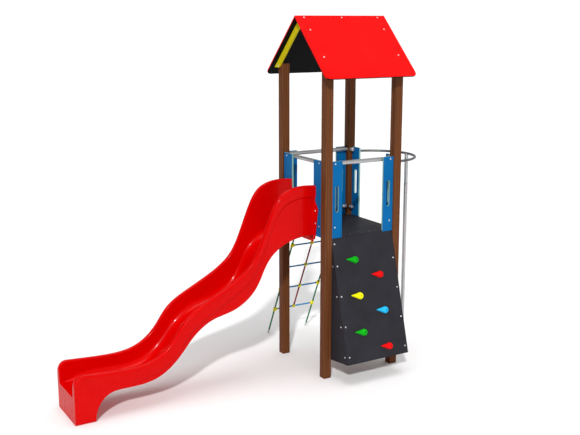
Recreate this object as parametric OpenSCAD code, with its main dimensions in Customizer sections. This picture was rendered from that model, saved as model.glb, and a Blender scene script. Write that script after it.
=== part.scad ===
// Roofed play tower with a wave slide, climbing wall, climbing net and fireman's pole.
// The roof ridge runs along X: the slide leaves towards -X and the pole stands at +X.
// The climbing wall leans against the -Y side and the net against the +Y side. Z is up, from the ground.
// Inside the modules X and Y are measured from the tower's centre line, and place() moves all to the frame.

/* [Tower] */
// Width of each square timber post
post_w = 88; // [72:1:100]
// Distance between post centres, both ways
post_pitch = 855; // [760:5:1040]
// Length of each post
post_h = 3235; // [3100:5:3500]
// Rounding of the posts' long edges
post_round = 5; // [2:0.5:8]

/* [Deck] */
// Height of the deck's top above the ground
deck_z = 1515; // [1260:5:1830]
// Thickness of the deck board
deck_t = 15; // [12:1:21]
// Thickness of the two bearers under the deck
bearer_t = 46; // [38:1:46]
// Depth of the bearers
bearer_d = 120; // [100:5:145]
// Thickness of the joists between the bearers
joist_t = 45; // [32:1:50]
// Depth of the joists
joist_d = 70; // [50:5:95]
// Distance of the outer joists from the middle one
joist_step = 250; // [200:5:300]

/* [Panels] */
// Thickness of the barrier panels
panel_t = 19; // [15:1:22]
// Height of the barrier panels
panel_h = 793; // [700:1:950]
// How far the panels' outer faces stand out from the post centres
panel_out = 26.5; // [22:0.5:32]
// Clearance between the slide's mouth and the panels beside it
mouth_gap = 3.3; // [1:0.1:10]
// Width of the panels beside the wall and the net
panel_w_side = 126; // [110:1:150]
// Width of the panels beside the pole
panel_w_pole = 136; // [115:1:155]
// Rounding of the panels' corners
panel_r = 6; // [2:1:12]
// Width of the hand slot
slot_w = 45; // [35:1:50]
// Height of the hand slot
slot_h = 275; // [200:5:320]
// Distance from a panel's top down to its hand slot
slot_drop = 249; // [200:1:300]

/* [Rails] */
// Diameter of the handrails, the lugs and the pole
rail_d = 42.4; // [34:0.1:48]
// Wall of the steel tubes
tube_t = 2.5; // [2:0.1:4]
// Distance from the panels' tops down to the handrail
rail_drop = 26; // [24:1:40]
// Height of the lower panel lugs above the deck
lug_up = 97; // [70:1:150]
// Diameter of the bow rail
bow_d = 27; // [24:1:30]
// Distance from the panels' tops down to the bow rail
bow_drop = 63; // [55:1:90]
// How far the bow's ends stand outside the posts' centre lines
bow_off = 2.5; // [-10:0.5:10]
// Straight ends of the bow before its curve
bow_straight = 4; // [4:1:60]
// Height of the joint between the pole's two lengths
pole_joint_z = 1893; // [1000:1:2000]

/* [Roof] */
// Level gap between the posts' outer top edges and the roof sheets
roof_gap = 5.115; // [3:0.005:30]
// Level overhang of the roof past the posts' outer faces, at the eaves
eaves_out = 130.5; // [90:0.5:200]
// Overhang of the roof past the rafters' outer faces, at the gables
gable_out = 60.6; // [30:0.1:120]
// Thickness of the roof sheets
roof_t = 13; // [10:1:18]
// Slope of the roof
roof_pitch = 45; // [43:1:46]
// Rounding of the sheets' lower corners
roof_r = 55; // [30:1:80]
// Thickness of the rafters
rafter_t = 20; // [16:1:24]
// Depth of the rafters
rafter_d = 60; // [50:1:70]
// Level height of the rafters' lower ends below the post tops
rafter_tail = 41; // [30:1:60]

/* [Climbing wall] */
// Lean of the climbing wall from the vertical
wall_lean = 15.1; // [12:0.1:17]
// Height of the wall board's lower edge
wall_low = 237; // [180:1:300]
// Thickness of the wall board and its cheeks
wall_t = 20; // [15:1:24]
// Height of the cheeks' lower rear corner
cheek_low = 188; // [150:1:230]
// Side of the square battens behind the board
batten = 45; // [38:1:50]
// Radius of a climbing hold's bulb
hold_r = 37; // [30:1:45]
// How far a climbing hold stands out
hold_t = 40; // [30:1:50]

/* [Slide] */
// Half width of the slide over its rims
slide_half = 264; // [250:1:275]
// Thickness of the slide's side walls
slide_wall = 50; // [40:1:60]
// Thickness of the slide's bed
bed_t = 15; // [10:1:18]
// Radius between the bed and the side walls
bed_r = 70; // [50:5:90]
// Depth of the raised band under the rims
band_d = 125; // [100:5:140]
// How far the band stands proud of the wall below it
band_proud = 12; // [6:1:16]
// Distance out where the band starts to run out into the flat wall
band_end = 1750; // [1500:10:1900]
// Radius along the rims
rim_r = 18; // [10:1:22]
// Thickness of the flange that bolts to the panels
flange_t = 14; // [10:1:18]
// Length of the slide's foot on the ground
foot_l = 198; // [150:1:250]
// Reach of the hollow curve behind the foot
foot_curve = 228; // [180:1:260]
// Radius of the front corners of the side walls
lip_r = 100; // [60:5:120]

/* [Net] */
// Half width of the net
net_half = 262; // [220:1:280]
// Distance of the net's ground ends from the tower's centre
net_out = 1101; // [900:1:1250]
// Diameter of the ropes
rope_d = 18; // [14:1:20]
// Height of the lowest rung
rung_low = 337; // [280:1:380]
// Distance between the rungs
rung_step = 288; // [250:1:300]
// Number of rungs
rung_n = 4; // [3:1:4]

/* [Fasteners] */
// Diameter of the panel, slide and wall bolts
bolt_d = 8; // [6:1:10]
// Diameter of their round heads
head_d = 18; // [14:1:20]
// Height of their round heads
head_h = 5; // [3:0.5:6]
// Diameter of the studs in the posts
stud_d = 10; // [8:1:12]
// Clearance between pieces that fit each other
fit = 0.2; // [0.1:0.05:0.4]

/* [Hidden] */
$fn = 48;

// Tower planes, from the centre line
half = post_pitch / 2;
inner = half - post_w / 2;
outer = half + post_w / 2;
panel_x1 = half + panel_out;
panel_x0 = panel_x1 - panel_t;
deck_low = deck_z - deck_t;
panel_top = deck_low + panel_h;
rail_z = panel_top - rail_drop;
rail_x = panel_x0 - rail_d / 2 - fit;
lug_z = deck_z + lug_up;
plug_l = 25;
stud_in = 22;
lug_nose = 6;

// Directions of the four sides: each module that takes a side works with its outward face at +X
SLIDE = 180;
WALL = -90;
NET = 90;
POLE = 0;
panel_w_slide = inner - fit - (slide_half - slide_wall + mouth_gap);
function panel_w(side) = side == SLIDE ? panel_w_slide : side == POLE ? panel_w_pole : panel_w_side;
function bolt_in(side) = side == SLIDE ? 60 : 40;

// Bow and pole
bow_z = panel_top - bow_drop;
bow_r = half + bow_off;
bow_x = outer + bow_straight;
pole_x = bow_x + bow_r;
bow_plate = [4, 44, 90];
spigot_l = 120;

// Roof, from the ridge down
rafter_x0 = outer + 2 * fit;
rafter_x1 = rafter_x0 + rafter_t;
ridge_z = post_h + outer * tan(roof_pitch) + roof_t / cos(roof_pitch) + roof_gap;
roof_run = outer + eaves_out;
roof_l = 2 * (rafter_x1 + gable_out);
roof_slope_l = roof_run / cos(roof_pitch);
angle_leg = 45;
angle_t = 4;
bracket_l = 40;
bracket_leg = 36;
ridge_bolt_y = 20;
roof_bolt_x = rafter_x0 - bracket_leg / 2 + 0.1;
bracket_y = [141, half - 27.5];

// Climbing wall
function wall_y(z) = tan(wall_lean) * z - (panel_x1 - 5) - tan(wall_lean) * deck_low;
wall_skew = 1 / cos(wall_lean);
cheek_x1 = inner - fit;
cheek_x0 = cheek_x1 - wall_t;
cheek_back = -inner - 10;
batten_x0 = cheek_x0 - batten;
bearer_low = deck_low - bearer_d;
wall_bolt_x = inner - 30;
wall_bolt_reach = wall_t + 13;
cheek_bolt_in = 38;
// The highest bolts keep these gaps between their heads and the posts, or the battens behind the board
post_gap = 4.691;
batten_gap = 4.329;
function z_where_wall_y(y) = deck_low + (y + panel_x1 - 5) / tan(wall_lean);
wall_bolt_z = [312, 615, 917,
    z_where_wall_y(-outer - head_d / 2 - post_gap - cheek_bolt_in * wall_skew)];
post_bolt_z = [320, 800,
    z_where_wall_y(-half - head_d / 2 - batten_gap - (wall_t + fit + batten) * wall_skew)];
// Bulb places of the climbing holds, across and up the wall
HOLDS = [[-131, 1258], [155, 1073], [-130, 895], [157, 710], [-142, 530], [152, 343]];
hold_tail = [-98, 22];
hold_tail_r = 11;

// Slide: spline points of its underside and of its rims, as distance out from the panels and height,
// for a deck whose underside is 1500 above the ground
SLIDE_UNDER = [[0, 1500], [145, 1510], [330, 1465], [480, 1380], [595, 1240], [685, 990], [940, 820],
    [1190, 805], [1410, 640], [1520, 475], [1785, 245], [2195, 280], [2612, 245]];
SLIDE_RIM = [[0, 2028], [180, 2045], [420, 1990], [535, 1740], [620, 1520], [735, 1260], [1025, 1085],
    [1305, 955], [1495, 835], [1605, 625], [1845, 440], [2245, 450], [2612, 478]];
slide_rings = 5;
slide_k = deck_low / 1500;
slide_x = -panel_x1 - fit;
slide_end = SLIDE_RIM[len(SLIDE_RIM) - 1][0];
ear_z = deck_z + 259;
ear_y = slide_half + 5;
ear_r = 45;
heel_z = deck_z + 110;
heel_r = 27;
slide_bolt_y = slide_half + 13;
slide_bolt_z = [deck_z + 122, deck_z + 254];
tongue_half = slide_half - slide_wall - 8;

// Net
ring_r = 12;
ring_wire = 4;
net_y = inner + bearer_t + ring_r + ring_wire + fit;
net_z = bearer_low + 18;
net_a = atan((net_out - net_y) / net_z);
link_s = 2 * ring_r - 2 * ring_wire - fit;
ferrule_s = 2 * ring_r + 2;
ferrule_l = 45;
ferrule_d = 25;
rope_s = ferrule_s + 14;
clamp_ball = 42;
clamp_l = 50;
clamp_d = 34;
function rung_s(i) = (net_z - rung_low - i * rung_step) / cos(net_a);

// Overall extents, which set the frame's origin at the middle of the base
x_low = slide_x - slide_end;
x_high = pole_x + rail_d / 2;
y_low = wall_y(HOLDS[5][1]) - sqrt(pow(hold_t * cos(wall_lean), 2) + pow(hold_r * sin(wall_lean), 2));
y_high = net_out + ferrule_d / 2 / cos(net_a);
module place() translate([-(x_low + x_high) / 2, -(y_low + y_high) / 2, 0]) children();

// ---------- shared shapes ----------

module rounded_rect(w, h, r) {
    square([w - 2 * r, h], center = true);
    square([w, h - 2 * r], center = true);
    for (x = [-1, 1], y = [-1, 1]) translate([x * (w / 2 - r), y * (h / 2 - r)]) circle(r);
}

// A round-headed bolt at the origin: head towards +Z, shank down to -reach
module bolt(reach, d = bolt_d) {
    translate([0, 0, -reach]) cylinder(d = d, h = reach);
    cylinder(d1 = head_d, d2 = head_d - 2, h = head_h / 2);
    translate([0, 0, head_h / 2]) cylinder(d1 = head_d - 2, d2 = head_d / 2, h = head_h / 2);
}

// The hole that such a bolt passes through
module bolt_hole(reach, d = bolt_d) translate([0, 0, -reach - fit]) cylinder(d = d + fit, h = reach + 2 * fit);

module tube(d, l, t = tube_t) difference() {
    cylinder(d = d, h = l);
    translate([0, 0, -1]) cylinder(d = d - 2 * t, h = l + 2);
}

module ring(r, wire) rotate_extrude() translate([r, 0]) circle(wire);

// ---------- posts and deck ----------

// Places of the studs that hold rails and lugs: each at a post's inner face, pointing along +Z into it
module at_studs() {
    for (side = [SLIDE, WALL, NET, POLE], s = [-1, 1], z = [lug_z, rail_z])
        rotate([0, 0, side]) translate([rail_x, s * inner, z]) rotate([-s * 90, 0, 0]) children();
}

// Places of the coach screws that go into the posts, with the screw's head towards +Z
module at_rafter_screws() for (x = [-1, 1], y = [-1, 1])
    translate([x * rafter_x1, y * (half + 12), post_h - 21]) rotate([0, x * 90, 0]) children();
module at_bow_screws() for (y = [-1, 1], z = [-1, 1])
    translate([outer + bow_plate[0], y * bow_r, bow_z + z * 30]) rotate([0, 90, 0]) children();
module at_cheek_screws() for (x = [-1, 1], z = post_bolt_z)
    translate([x * cheek_x0, -half, z]) rotate([0, -x * 90, 0]) children();
module at_plate_screws() for (x = [-1, 1], y = [-1, 1], dx = [-42, -18, 18, 42], z = [-20, 20])
    translate([x * inner + dx, y * (inner - angle_t), deck_low - bearer_d / 2 + z])
        rotate([y * 90, 0, 0]) children();

screw_in = 30;
module post_screw_holes() {
    at_rafter_screws() bolt_hole(rafter_t + screw_in);
    at_bow_screws() bolt_hole(bow_plate[0] + screw_in);
    at_cheek_screws() bolt_hole(wall_t + screw_in);
    at_plate_screws() bolt_hole(angle_t + screw_in, 6);
}

module post(x, y) color("saddlebrown") place() difference() {
    translate([x * half, y * half, 0]) linear_extrude(post_h) rounded_rect(post_w, post_w, post_round);
    at_studs() translate([0, 0, -1]) cylinder(d = stud_d + fit, h = stud_in + 1 + fit);
    post_screw_holes();
}

module at_deck_screws() for (x = [-330, -120, 120, 330], y = [-1, 1])
    translate([x, y * (inner + bearer_t / 2), deck_z]) children();

module deck_board() color("darkslategray") place() difference() {
    union() {
        translate([-panel_x0 + fit, -panel_x0 + fit, deck_low])
            cube([2 * (panel_x0 - fit), 2 * (panel_x0 - fit), deck_t]);
        // Nosing over the top edge of the climbing wall, between the two panels
        translate([-(inner - panel_w_side - 1), -panel_x1 + 3, deck_low])
            cube([2 * (inner - panel_w_side - 1), panel_t + 10, deck_t]);
    }
    for (x = [-1, 1], y = [-1, 1]) translate([x * half, y * half, deck_low - 1])
        linear_extrude(deck_t + 2) square(post_w + 2 * fit, center = true);
    at_deck_screws() translate([0, 0, -deck_t - 1]) {
        cylinder(d = 5 + fit, h = deck_t + 2);
        translate([0, 0, deck_t - 3]) cylinder(d = 11 + fit, h = 5);
    }
}

module deck_screws() color("silver") place() at_deck_screws() {
    translate([0, 0, -deck_t - 35]) cylinder(d = 5, h = deck_t + 33);
    translate([0, 0, -4 + fit]) cylinder(d = 11, h = 4 - 2 * fit);
}

module deck_bearer(y) color("burlywood") place() difference() {
    translate([-inner + fit, y * (inner + bearer_t / 2) - bearer_t / 2, bearer_low])
        cube([2 * (inner - fit), bearer_t, bearer_d]);
    at_deck_screws() translate([0, 0, -deck_t - 36]) cylinder(d = 5 + fit, h = 40);
    at_plate_screws() bolt_hole(angle_t + screw_in, 6);
    at_wall_top_bolts() bolt_hole(wall_top_reach);
    at_net(0) net_shank_hole();
}

module deck_joists() color("burlywood") place() for (x = [-1, 0, 1])
    translate([x * joist_step - joist_t / 2, -inner + fit, deck_low - joist_d])
        cube([joist_t, 2 * (inner - fit), joist_d]);

module bearer_plates() color("silver") place() difference() {
    for (x = [-1, 1], y = [-1, 1])
        translate([x * inner - 55, y * (inner - angle_t / 2) - angle_t / 2, deck_low - bearer_d / 2 - 35])
            cube([110, angle_t, 70]);
    at_plate_screws() bolt_hole(angle_t + screw_in, 6);
}

// ---------- barrier panels ----------

module at_panel_bolts(side, s) for (z = [lug_z, rail_z]) rotate([0, 0, side])
    translate([panel_x1, s * (inner - bolt_in(side)), z]) rotate([0, 90, 0]) children();

panel_bolt_reach = panel_t + fit + 12;
module all_panel_bolts() for (side = [SLIDE, WALL, NET, POLE], s = [-1, 1])
    at_panel_bolts(side, s) children();

module panel(side, s) color("royalblue") place() difference() {
    rotate([0, 0, side]) translate([panel_x0, s * (inner - fit - panel_w(side) / 2), deck_low + panel_h / 2])
        rotate([90, 0, 90]) linear_extrude(panel_t) difference() {
            rounded_rect(panel_w(side), panel_h, panel_r);
            if (side != SLIDE) translate([0, panel_h / 2 - slot_drop - slot_h / 2])
                rounded_rect(slot_w, slot_h, slot_w / 2 - 0.5);
        }
    at_panel_bolts(side, s) bolt_hole(panel_bolt_reach);
    if (side == SLIDE) at_slide_bolts() bolt_hole(slide_bolt_reach);
}

module panel_bolts() color("silver") place() all_panel_bolts() bolt(panel_bolt_reach);

// ---------- rails ----------

module handrail(side) color("lightgray") place() difference() {
    rotate([0, 0, side]) translate([rail_x, inner - fit, rail_z]) rotate([90, 0, 0])
        tube(rail_d, 2 * (inner - fit));
    all_panel_bolts() bolt_hole(panel_bolt_reach);
}

module rail_plugs() color("gray") place() difference() {
    for (side = [SLIDE, WALL, NET], s = [-1, 1]) rotate([0, 0, side])
        translate([rail_x, s * (inner - fit), rail_z]) rotate([s * 90, 0, 0])
            cylinder(d = rail_d - 2 * tube_t - fit, h = plug_l);
    at_studs() translate([0, 0, -stud_in]) cylinder(d = stud_d + fit, h = stud_in + 1);
}

module rail_lugs() color("gainsboro") place() difference() {
    union() {
        for (side = [SLIDE, WALL, NET, POLE], s = [-1, 1]) lug(side, s, lug_z);
        for (s = [-1, 1]) lug(POLE, s, rail_z);
    }
    at_studs() translate([0, 0, -stud_in]) cylinder(d = stud_d + fit, h = stud_in + 1);
    all_panel_bolts() bolt_hole(panel_bolt_reach);
}

module lug(side, s, z) rotate([0, 0, side]) translate([rail_x, s * (inner - fit), z]) rotate([s * 90, 0, 0]) {
    cylinder(d = rail_d, h = bolt_in(side) + 8);
    translate([0, 0, bolt_in(side) + 8]) cylinder(d1 = rail_d, d2 = rail_d / 2, h = lug_nose);
}

module rail_studs() color("gray") place() at_studs()
    translate([0, 0, -stud_in + fit]) cylinder(d = stud_d, h = 2 * stud_in - fit);

module bow_path(d) {
    translate([bow_x, 0, bow_z]) rotate([0, 0, -90]) rotate_extrude(angle = 180) translate([bow_r, 0]) circle(d = d);
    for (y = [-1, 1]) translate([outer, y * bow_r, bow_z]) rotate([0, 90, 0]) cylinder(d = d, h = bow_straight);
}

module bow_rail() color("dimgray") place() difference() {
    union() {
        bow_path(bow_d);
        for (y = [-1, 1]) translate([outer, y * bow_r, bow_z]) rotate([90, 0, 90])
            linear_extrude(bow_plate[0]) rounded_rect(bow_plate[1], bow_plate[2], 8);
    }
    at_bow_screws() bolt_hole(bow_plate[0] + screw_in);
}

module pole_lower() color("lightgray") place() translate([pole_x, 0, 0]) {
    tube(rail_d, pole_joint_z);
    translate([0, 0, pole_joint_z - spigot_l / 2]) tube(rail_d - 2 * tube_t, spigot_l);
}

module pole_upper() color("lightgray") place() difference() {
    translate([pole_x, 0, pole_joint_z + 3]) difference() {
        cylinder(d = rail_d, h = bow_z + 4 - pole_joint_z - 3);
        translate([0, 0, -1]) cylinder(d = rail_d - 2 * tube_t + fit, h = spigot_l);
    }
    bow_path(bow_d + fit);
}

// ---------- roof ----------

// Puts a child drawn from the ridge down the slope: X along the ridge, -Y down the slope, Z out of the roof
module on_roof(y) rotate([0, 0, y < 0 ? 0 : 180]) translate([0, 0, ridge_z]) rotate([roof_pitch, 0, 0]) children();

module at_roof_bolts(y) on_roof(y) {
    for (x = [-roof_bolt_x, 0, roof_bolt_x]) translate([x, -ridge_bolt_y / cos(roof_pitch), 0]) children();
    for (x = [-roof_bolt_x, roof_bolt_x], b = bracket_y) translate([x, -b / cos(roof_pitch), 0]) children();
}
roof_bolt_reach = roof_t + angle_t + 6;

module roof_sheet(y) color("red") place() difference() {
    on_roof(y) translate([0, 0, -roof_t]) linear_extrude(roof_t) {
        translate([-roof_l / 2, -roof_slope_l + roof_r]) square([roof_l, roof_slope_l + roof_t - roof_r]);
        translate([-roof_l / 2 + roof_r, -roof_slope_l]) square([roof_l - 2 * roof_r, roof_r + 1]);
        for (x = [-1, 1]) translate([x * (roof_l / 2 - roof_r), -roof_slope_l + roof_r]) circle(roof_r);
    }
    translate([-roof_l, y < 0 ? -fit / 2 : -roof_run, 0]) cube([2 * roof_l, roof_run + fit / 2, 2 * ridge_z]);
    at_roof_bolts(y) bolt_hole(roof_bolt_reach);
}

module rafter(x, y) color("gold") place() difference() {
    intersection() {
        translate([x * (rafter_x0 + rafter_x1) / 2 - rafter_t / 2, 0, 0]) on_roof_side(y)
            translate([0, -roof_slope_l, -roof_t - fit - rafter_d]) cube([rafter_t, 2 * roof_slope_l, rafter_d]);
        translate([-roof_l, y < 0 ? -roof_run : fit, post_h - rafter_tail])
            cube([2 * roof_l, roof_run - fit, 2 * roof_run]);
    }
    at_rafter_screws() bolt_hole(rafter_t + screw_in);
    at_bracket_screws() bolt_hole(angle_t + 14, 5);
}
module on_roof_side(y) translate([0, 0, ridge_z]) rotate([y < 0 ? roof_pitch : -roof_pitch, 0, 0]) children();

module ridge_angle() color("silver") place() difference() {
    for (y = [-1, 1]) intersection() {
        on_roof(y) translate([-rafter_x0 + 3, -angle_leg, -roof_t - fit - angle_t])
            cube([2 * (rafter_x0 - 3), 2 * angle_leg, angle_t]);
        translate([-roof_l, y < 0 ? -angle_leg : 0, 0]) cube([2 * roof_l, angle_leg, 2 * ridge_z]);
    }
    for (y = [-1, 1]) at_roof_bolts(y) bolt_hole(roof_bolt_reach);
}

// Places of the brackets' screws into the rafters, with the head towards +Z
module at_bracket_screws() for (x = [-1, 1], y = [-1, 1], b = bracket_y) on_roof(y)
    translate([x * (rafter_x0 - angle_t - fit), -b / cos(roof_pitch), -roof_t - 24])
        rotate([0, -x * 90, 0]) children();

module roof_brackets() color("silver") place() difference() {
    for (x = [-1, 1], y = [-1, 1], b = bracket_y) on_roof(y) translate([0, -b / cos(roof_pitch), -roof_t - fit]) {
        translate([x * (rafter_x0 - fit - bracket_leg / 2) - bracket_leg / 2, -bracket_l / 2, -angle_t])
            cube([bracket_leg, bracket_l, angle_t]);
        translate([x * (rafter_x0 - fit - angle_t / 2) - angle_t / 2, -bracket_l / 2, -bracket_leg])
            cube([angle_t, bracket_l, bracket_leg]);
    }
    for (y = [-1, 1]) at_roof_bolts(y) bolt_hole(roof_bolt_reach);
    at_bracket_screws() bolt_hole(angle_t + 14, 5);
}

module roof_bolts() color("silver") place() for (y = [-1, 1]) at_roof_bolts(y) bolt(roof_bolt_reach);

module coach_screws() color("silver") place() {
    at_rafter_screws() bolt(rafter_t + screw_in);
    at_bow_screws() bolt(bow_plate[0] + screw_in);
    at_cheek_screws() bolt(wall_t + screw_in);
    at_plate_screws() { translate([0, 0, -angle_t - screw_in]) cylinder(d = 6, h = angle_t + screw_in); cylinder(d = 11, h = 3); }
    at_bracket_screws() { translate([0, 0, -angle_t - 14]) cylinder(d = 5, h = angle_t + 14); cylinder(d = 10, h = 3); }
}

// ---------- climbing wall ----------

// Puts a child on the wall's face: X across, Y up the face, Z out of it
module on_wall(x, z) translate([x, wall_y(z), z]) rotate([90 - wall_lean, 0, 0]) children();
module along_x(x0, x1) translate([x0, 0, 0]) rotate([90, 0, 90]) linear_extrude(x1 - x0) children();

wall_top = deck_low - 2 * fit;
bearer_face = -inner - bearer_t;
// Height where the back of the board meets the bearer's face: above it the board is cut upright
board_rebate_z = deck_low + (bearer_face - fit - wall_t * wall_skew - wall_y(deck_low)) / tan(wall_lean);
wall_top_bolt_z = deck_low - 60;
wall_top_reach = wall_t + 42;
module at_wall_top_bolts() on_wall(-wall_bolt_x, wall_top_bolt_z) children();
module at_wall_bolts() for (x = [-1, 1], z = wall_bolt_z) on_wall(x * wall_bolt_x, z) children();
module at_cheek_bolts() for (x = [-1, 1], z = wall_bolt_z)
    translate([x * cheek_x1, wall_y(z) + cheek_bolt_in * wall_skew, z - 7]) rotate([0, x * 90, 0]) children();
module at_holds() for (h = HOLDS) on_wall(h[0], h[1]) children();
hold_bolt_reach = wall_t + 14;

module wall_board() color("darkslategray") place() difference() {
    along_x(-cheek_x1, cheek_x1) polygon([[wall_y(wall_low), wall_low], [wall_y(wall_top), wall_top],
        [bearer_face - fit, wall_top], [bearer_face - fit, board_rebate_z],
        [wall_y(wall_low) + wall_t * cos(wall_lean), wall_low - wall_t * sin(wall_lean)]]);
    at_wall_bolts() bolt_hole(wall_bolt_reach);
    at_wall_top_bolts() bolt_hole(wall_top_reach);
    at_holds() translate([0, 0, -wall_t - 1]) cylinder(d = 10 + fit, h = wall_t + 2);
}

// Line of the back of the board, with a clearance
function board_back(z) = wall_y(z) + (wall_t + fit) * wall_skew;

module wall_cheek(x) color("darkslategray") place() difference() {
    along_x(x < 0 ? -cheek_x1 : cheek_x0, x < 0 ? -cheek_x0 : cheek_x1)
        polygon([[board_back(wall_low), wall_low - 3], [cheek_back, cheek_low], [cheek_back, bearer_low - fit],
            [bearer_face - 1, bearer_low - fit], [bearer_face - 1, bearer_low + 40],
            [board_back(bearer_low + 40), bearer_low + 40]]);
    at_cheek_bolts() bolt_hole(wall_t + 36);
    at_cheek_screws() bolt_hole(wall_t + screw_in);
}

module wall_battens() color("burlywood") place() difference() {
    for (x = [-1, 1]) along_x(x < 0 ? -cheek_x0 + fit : batten_x0, x < 0 ? -batten_x0 : cheek_x0 - fit)
        polygon([for (p = [[0, wall_low + 18], [batten, wall_low + 18], [batten, bearer_low - 3], [0, bearer_low - 3]])
            [board_back(p[1]) + p[0] * wall_skew, p[1]]]);
    at_wall_bolts() bolt_hole(wall_bolt_reach);
    at_cheek_bolts() bolt_hole(wall_t + 36);
}

module wall_bolts() color("silver") place() {
    at_wall_bolts() bolt(wall_bolt_reach);
    at_wall_top_bolts() bolt(wall_top_reach);
    at_cheek_bolts() bolt(wall_t + 36);
}

module hold(i, shade) color(shade) place() on_wall(HOLDS[i][0], HOLDS[i][1]) difference() {
    intersection() {
        hull() {
            scale([hold_r, hold_r, hold_t]) sphere(1, $fn = 32);
            translate([hold_tail[0] / 2, hold_tail[1] * 0.35, 0]) scale([24, 24, 27]) sphere(1, $fn = 32);
            translate(hold_tail) scale([hold_tail_r, hold_tail_r, 15]) sphere(1, $fn = 32);
        }
        translate([-200, -200, fit]) cube([400, 400, 100]);
    }
    translate([0, 0, -1]) cylinder(d = 10 + fit, h = 2 * hold_t);
    translate([0, 0, 14]) cylinder(d = 20 + fit, h = hold_t);
}

module hold_bolts() color("silver") place() at_holds() {
    translate([0, 0, -hold_bolt_reach]) cylinder(d = 10, h = hold_bolt_reach + 14);
    translate([0, 0, 14]) cylinder(d = 20, h = 8);
    translate([0, 0, -wall_t - fit - 3]) cylinder(d = 24, h = 3);
}

// ---------- slide ----------

// A point on a cubic spline through the neighbourhood of its control points, t from 0 to len(p) - 1
function spline(p, t) = let (n = len(p) - 1, i = min(floor(t), n - 1), u = t - i,
    q = [for (k = [i - 1:i + 2]) k < 0 ? 2 * p[0] - p[1] : k > n ? 2 * p[n] - p[n - 1] : p[k]])
    (pow(1 - u, 3) * q[0] + (3 * pow(u, 3) - 6 * u * u + 4) * q[1]
        + (3 * u + 3 * u * u + 1 - 3 * pow(u, 3)) * q[2] + pow(u, 3) * q[3]) / 6;
function under(t) = let (p = spline(SLIDE_UNDER, t)) [slide_x - p[0], p[1] * slide_k];
function rim(t) = let (p = spline(SLIDE_RIM, t)) [slide_x - p[0], p[1] * slide_k];
function arc(c, r, a0, a1, n) = [for (i = [0:n]) let (a = a0 + (a1 - a0) * i / n) c + r * [cos(a), sin(a)]];

// How far the band stands proud at a distance out: it runs out over the foot
band_fade = 400;
function proud_at(d) = let (u = min(1, max(0, (d - band_end) / band_fade)))
    0.3 + band_proud * (1 - u * u * (3 - 2 * u));

// Half of the slide's section for a wall of height h: from under the bed, over the rim, to the bed's middle
function half_section(h, proud) = let (low = slide_half - proud, mouth = slide_half - slide_wall, toe = mouth - 8)
    concat([[0, 0]], arc([low - 14, 14], 14, -90, 0, 3), [[low, h - band_d], [slide_half, h - band_d + 10]],
        arc([slide_half - rim_r, h - rim_r], rim_r, 0, 90, 4), arc([mouth + rim_r, h - rim_r], rim_r, 90, 180, 4),
        arc([toe - bed_r, bed_t + bed_r], bed_r, 0, -90, 5), [[0, bed_t]]);
function section(h, proud) = let (s = half_section(h, proud), n = len(s) - 1)
    concat(s, [for (i = [n - 1:-1:1]) [-s[i][0], s[i][1]]]);

module chute_sweep() {
    n = slide_rings * (len(SLIDE_RIM) - 1);
    rings = [for (i = [0:n]) let (a = under(i / slide_rings), b = rim(i / slide_rings), h = norm(b - a))
        [for (p = section(h, proud_at(slide_x - a[0]))) let (q = a + (b - a) * p[1] / h) [q[0], p[0], q[1]]]];
    m = len(rings[0]);
    polyhedron([for (r = rings) each r], concat([[for (j = [m - 1:-1:0]) j]], [[for (j = [0:m - 1]) n * m + j]],
        [for (i = [0:n - 1], j = [0:m - 1]) let (k = (j + 1) % m) [i * m + j, i * m + k, (i + 1) * m + k, (i + 1) * m + j]]));
}

slide_bolt_reach = flange_t + panel_t + 14;
module at_slide_bolts() for (y = [-1, 1], z = slide_bolt_z)
    translate([slide_x - flange_t, y * slide_bolt_y, z]) rotate([0, -90, 0]) children();

// Foot under the bed's lower end: a block with a hollow curve behind it
module slide_foot() {
    n = len(SLIDE_UNDER) - 1;
    top = 265 * slide_k;
    translate([0, slide_half - 0.3, 0]) rotate([90, 0, 0]) linear_extrude(2 * (slide_half - 0.3))
        polygon(concat([for (t = [n:-0.25:n - 1.5]) under(t) + [0, bed_t / 2]],
            [for (a = [90:-10:0]) [x_low + foot_l + foot_curve - foot_curve * cos(a), top * sin(a)]], [[x_low, 0]]));
}

// One moulding: resize() with zeros keeps its size and joins it as a single mesh
module slide_chute() color("red") place() resize([0, 0, 0]) difference() {
    union() {
        chute_sweep();
        slide_foot();
        for (y = [-1, 1]) translate([slide_x, 0, 0]) rotate([90, 0, -90]) linear_extrude(flange_t) hull() {
            translate([y * ear_y, ear_z]) circle(ear_r);
            translate([y * (slide_half), heel_z]) circle(heel_r);
            translate([y * (slide_half - 25), ear_z + 90]) circle(20);
            translate([y * (slide_half - 25), deck_low]) circle(20);
        }
        translate([slide_x - flange_t, -slide_half + 6, deck_low - 65]) cube([flange_t, 2 * (slide_half - 6), 70]);
        translate([slide_x - 1, -tongue_half, deck_low]) cube([panel_t + 1, 2 * tongue_half, bed_t]);
    }
    at_slide_bolts() bolt_hole(slide_bolt_reach);
    // Rounded front corners of the side walls
    z = rim(len(SLIDE_RIM) - 1)[1];
    translate([x_low, 0, z]) difference() {
        translate([-1, -400, -lip_r]) cube([lip_r + 1, 800, lip_r + 50]);
        translate([lip_r, 401, -lip_r]) rotate([90, 0, 0]) cylinder(r = lip_r, h = 802);
    }
}

module slide_bolts() color("silver") place() at_slide_bolts() {
    bolt(slide_bolt_reach);
    translate([0, 0, -flange_t - panel_t - 2 * fit - 8]) cylinder(d = 20, h = 8);
}

// ---------- net ----------

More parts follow.
